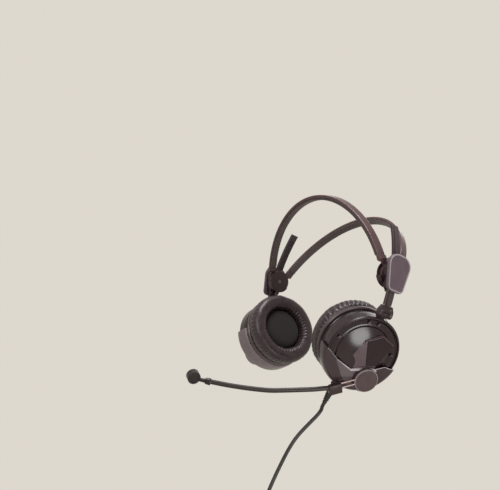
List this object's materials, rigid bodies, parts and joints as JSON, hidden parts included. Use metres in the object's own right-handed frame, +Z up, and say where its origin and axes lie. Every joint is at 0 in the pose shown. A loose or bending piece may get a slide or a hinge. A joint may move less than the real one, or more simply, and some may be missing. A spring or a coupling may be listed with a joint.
{
  "type": "aviation headset",
  "caption": "Split-headband aviation headset with round on-ear cups on sliding arms, a boom microphone on a rotating pivot, and a cord that ends in separate headphone and microphone plugs.",
  "frame": {"origin": "where the head carries the headset: the middle of the soft strip under the front band's crown", "axes": "+X is the wearer's left (the cup with the boom), -Y the wearer's front, +Z up; the arms hang upright and the two bands lean apart around them"},
  "size_m": [0.1924, 0.1792, 0.4019],
  "materials": {
    "band_plastic": "fine-grained moulded nylon, near black with a brown cast",
    "band_strip": "soft satin elastomer strip, dark grey",
    "housing_plastic": "satin moulded nylon, near black",
    "cap_plastic": "satin moulded plastic, mid grey",
    "drum_plastic": "satin moulded nylon, near black",
    "steel": "bright machined steel",
    "arm_plastic": "satin, dark grey",
    "shell_plastic": "semi-gloss moulded plastic, near black",
    "leatherette": "gathered soft leatherette, near black",
    "foam": "open foam under thin cloth, black",
    "baffle_plastic": "satin moulded plastic, warm grey",
    "speaker_dark": "dark moulded frame and magnet cover",
    "board": "green circuit board with dark components",
    "cover_gloss": "polished moulded plastic, dark brown-grey",
    "panel_gloss": "polished, black, bare",
    "lower_plastic": "satin moulded plastic, dark grey",
    "pivot_plastic": "satin moulded plastic, grey-brown",
    "clamp_plastic": "satin moulded nylon, near black",
    "boom_cover": "flexible sleeve over a gooseneck, dark grey",
    "capsule_plastic": "satin moulded plastic, near black",
    "cord_rubber": "smooth flexible jacket, black",
    "plug_body": "moulded grip over a plated plug, black",
    "tie_cloth": "woven hook-and-loop strap, black"
  },
  "bodies": {
    "front_band": {"front_band": "band_plastic", "front_band_strip": "band_strip"},
    "rear_band": {"rear_band": "band_plastic", "rear_band_strip": "band_strip"},
    "left_housing": {"left_housing": "housing_plastic", "left_shield_cap": "cap_plastic", "left_drum_cover": "drum_plastic", "left_pivot_screw": "steel", "left_detent_spring": "steel"},
    "left_arm": {"left_arm": "arm_plastic"},
    "left_bracket": {"left_bracket": "housing_plastic", "left_hinge_pin": "steel"},
    "left_cup": {"left_cup_shell": "shell_plastic", "left_ear_cushion": "leatherette", "left_foam_disc": "foam", "left_speaker_baffle": "baffle_plastic", "left_speaker": "speaker_dark", "left_noise_mic": "steel", "left_circuit_board": "board", "left_back_cover": "cover_gloss", "left_cover_panel": "panel_gloss", "left_cover_screws": "steel", "left_lower_cover": "lower_plastic", "cable_gland": "clamp_plastic", "strain_relief": "cord_rubber", "cord": "cord_rubber", "cord_hank": "cord_rubber", "hank_tie": "tie_cloth", "cord_splitter": "cord_rubber", "phones_leg": "cord_rubber", "mic_leg": "cord_rubber", "phones_plug": "plug_body", "mic_plug": "plug_body"},
    "right_housing": {"right_housing": "housing_plastic", "right_shield_cap": "cap_plastic", "right_drum_cover": "drum_plastic", "right_pivot_screw": "steel", "right_detent_spring": "steel"},
    "right_arm": {"right_arm": "arm_plastic"},
    "right_bracket": {"right_bracket": "housing_plastic", "right_hinge_pin": "steel"},
    "right_cup": {"right_cup_shell": "shell_plastic", "right_ear_cushion": "leatherette", "right_foam_disc": "foam", "right_speaker_baffle": "baffle_plastic", "right_speaker": "speaker_dark", "right_noise_mic": "steel", "right_circuit_board": "board", "right_back_cover": "cover_gloss", "right_cover_panel": "panel_gloss", "right_cover_screws": "steel", "right_lower_cover": "lower_plastic", "right_blank_disc": "pivot_plastic"},
    "boom": {"boom_pivot": "pivot_plastic", "boom_rods": "steel", "boom_clamp": "clamp_plastic", "boom_tube": "boom_cover", "mic_neck": "capsule_plastic", "mic_capsule": "capsule_plastic"}
  },
  "joints": [
    {"name": "rear_band_hinge", "type": "hinge", "parent": "front_band", "child": "rear_band", "pos_m": [0, 0.03548, -0.06696], "axis": [-1, 0, 0], "range_deg": [-42, 36]},
    {"name": "left_housing_swing", "type": "hinge", "parent": "front_band", "child": "left_housing", "pos_m": [0.08646, 0.03548, -0.06696], "axis": [-1, 0, 0], "range_deg": [-19, 30]},
    {"name": "right_housing_swing", "type": "hinge", "parent": "front_band", "child": "right_housing", "pos_m": [-0.08646, 0.03548, -0.06696], "axis": [-1, 0, 0], "range_deg": [-19, 30]},
    {"name": "left_arm_slide", "type": "hinge", "parent": "left_housing", "child": "left_arm", "pos_m": [-0.0394, 0.03548, -0.07696], "axis": [0, 1, 0], "range_deg": [-5, 8]},
    {"name": "right_arm_slide", "type": "hinge", "parent": "right_housing", "child": "right_arm", "pos_m": [0.0394, 0.03548, -0.07696], "axis": [0, -1, 0], "range_deg": [-1, 12]},
    {"name": "left_cup_turn", "type": "hinge", "parent": "left_arm", "child": "left_bracket", "pos_m": [0.08825, 0.03548, -0.10154], "axis": [0.1891, 0, 0.982], "range_deg": [-5, 23]},
    {"name": "right_cup_turn", "type": "hinge", "parent": "right_arm", "child": "right_bracket", "pos_m": [-0.08965, 0.03548, -0.09258], "axis": [0.1201, 0, -0.9928], "range_deg": [-9, 19]},
    {"name": "left_cup_tilt", "type": "hinge", "parent": "left_bracket", "child": "left_cup", "pos_m": [0.08825, 0.03548, -0.10154], "axis": [0.1536, 0.9877, -0.0296], "range_deg": [-32, 8]},
    {"name": "right_cup_tilt", "type": "hinge", "parent": "right_bracket", "child": "right_cup", "pos_m": [-0.08965, 0.03548, -0.09258], "axis": [-0.0865, -0.9962, -0.0105], "range_deg": [-16, 23]},
    {"name": "boom_swing", "type": "hinge", "parent": "left_cup", "child": "boom", "pos_m": [0.06698, 0.04832, -0.1552], "axis": [0.881, -0.1505, -0.4486], "range_deg": [-70, 45]}
  ]
}
